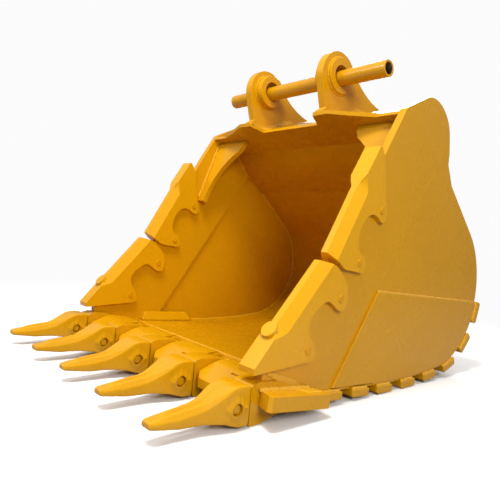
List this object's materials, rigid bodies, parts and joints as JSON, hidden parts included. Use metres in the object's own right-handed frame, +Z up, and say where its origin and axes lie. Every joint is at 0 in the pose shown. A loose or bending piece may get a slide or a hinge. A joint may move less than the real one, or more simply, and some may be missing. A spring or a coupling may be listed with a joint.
{
  "type": "excavator bucket",
  "caption": "Severe duty excavator rock bucket with pinned ears, cast tips on adapters, lip shrouds, side protectors, wear strips and a loose carrying tube.",
  "frame": {"origin": "on the floor under the middle of the bucket, which stands on its adapters and wear strips", "axes": "+X from the teeth to the heel, +Y across the bucket, +Z up towards the ears"},
  "size_m": [2.1873, 1.7, 1.7053],
  "materials": {
    "plate_paint": "glossy yellow enamel over rolled plate",
    "shell_paint": "glossy yellow enamel, slight orange peel",
    "wear_paint": "glossy yellow enamel over hard plate",
    "protector": "glossy yellow enamel over cast steel",
    "cast_adapter": "glossy yellow enamel over rough casting",
    "cast_tip": "glossy yellow enamel over rough casting",
    "retainer_steel": "painted steel lock",
    "pin_steel": "glossy yellow enamel",
    "tube_paint": "glossy yellow enamel, bare bore"
  },
  "bodies": {
    "bucket": {"lip_plate": "plate_paint", "floor_plate": "shell_paint", "back_plate": "shell_paint", "box_inner_plate": "shell_paint", "box_cover": "shell_paint", "side_bar_left": "plate_paint", "side_bar_right": "plate_paint", "side_plate_left": "plate_paint", "side_plate_right": "plate_paint", "side_wear_plate_left": "plate_paint", "side_wear_plate_right": "plate_paint", "corner_gusset_left": "wear_paint", "corner_gusset_right": "wear_paint", "corner_liner_left": "wear_paint", "corner_liner_right": "wear_paint", "ear_left": "plate_paint", "ear_right": "plate_paint", "front_boss_left": "plate_paint", "front_boss_right": "plate_paint", "rear_boss_left": "plate_paint", "rear_boss_right": "plate_paint", "corner_block_left": "wear_paint", "corner_block_right": "wear_paint", "wear_strip_1": "wear_paint", "wear_strip_2": "wear_paint", "wear_strip_3": "wear_paint", "wear_strip_4": "wear_paint", "wear_strip_5": "wear_paint", "wear_strip_6": "wear_paint", "wear_strip_7": "wear_paint", "wear_strip_8": "wear_paint", "adapter_1": "cast_adapter", "adapter_2": "cast_adapter", "adapter_3": "cast_adapter", "adapter_4": "cast_adapter", "adapter_5": "cast_adapter", "tip_1": "cast_tip", "tip_2": "cast_tip", "tip_3": "cast_tip", "tip_4": "cast_tip", "tip_5": "cast_tip", "lip_shroud_1": "cast_adapter", "lip_shroud_2": "cast_adapter", "lip_shroud_3": "cast_adapter", "lip_shroud_4": "cast_adapter", "upper_protector_left": "protector", "upper_protector_right": "protector", "lower_protector_left": "protector", "lower_protector_right": "protector", "protector_pins": "pin_steel"},
    "retainer_1": {"retainer_1": "retainer_steel"},
    "retainer_2": {"retainer_2": "retainer_steel"},
    "retainer_3": {"retainer_3": "retainer_steel"},
    "retainer_4": {"retainer_4": "retainer_steel"},
    "retainer_5": {"retainer_5": "retainer_steel"},
    "transport_tube": {"transport_tube": "tube_paint"}
  },
  "joints": [
    {"name": "retainer_1_turn", "type": "hinge", "parent": "bucket", "child": "retainer_1", "pos_m": [-0.766, -0.738, 0.078], "axis": [0, 1, 0], "range_deg": [0, 180]},
    {"name": "retainer_2_turn", "type": "hinge", "parent": "bucket", "child": "retainer_2", "pos_m": [-0.766, -0.384, 0.078], "axis": [0, 1, 0], "range_deg": [0, 180]},
    {"name": "retainer_3_turn", "type": "hinge", "parent": "bucket", "child": "retainer_3", "pos_m": [-0.766, -0.03, 0.078], "axis": [0, 1, 0], "range_deg": [0, 180]},
    {"name": "retainer_4_turn", "type": "hinge", "parent": "bucket", "child": "retainer_4", "pos_m": [-0.766, 0.324, 0.078], "axis": [0, 1, 0], "range_deg": [0, 180]},
    {"name": "retainer_5_turn", "type": "hinge", "parent": "bucket", "child": "retainer_5", "pos_m": [-0.766, 0.678, 0.078], "axis": [0, 1, 0], "range_deg": [0, 180]},
    {"name": "transport_tube_slide", "type": "slide", "parent": "bucket", "child": "transport_tube", "axis": [0, 1, 0], "range_m": [-0.2, 0.24]}
  ]
}
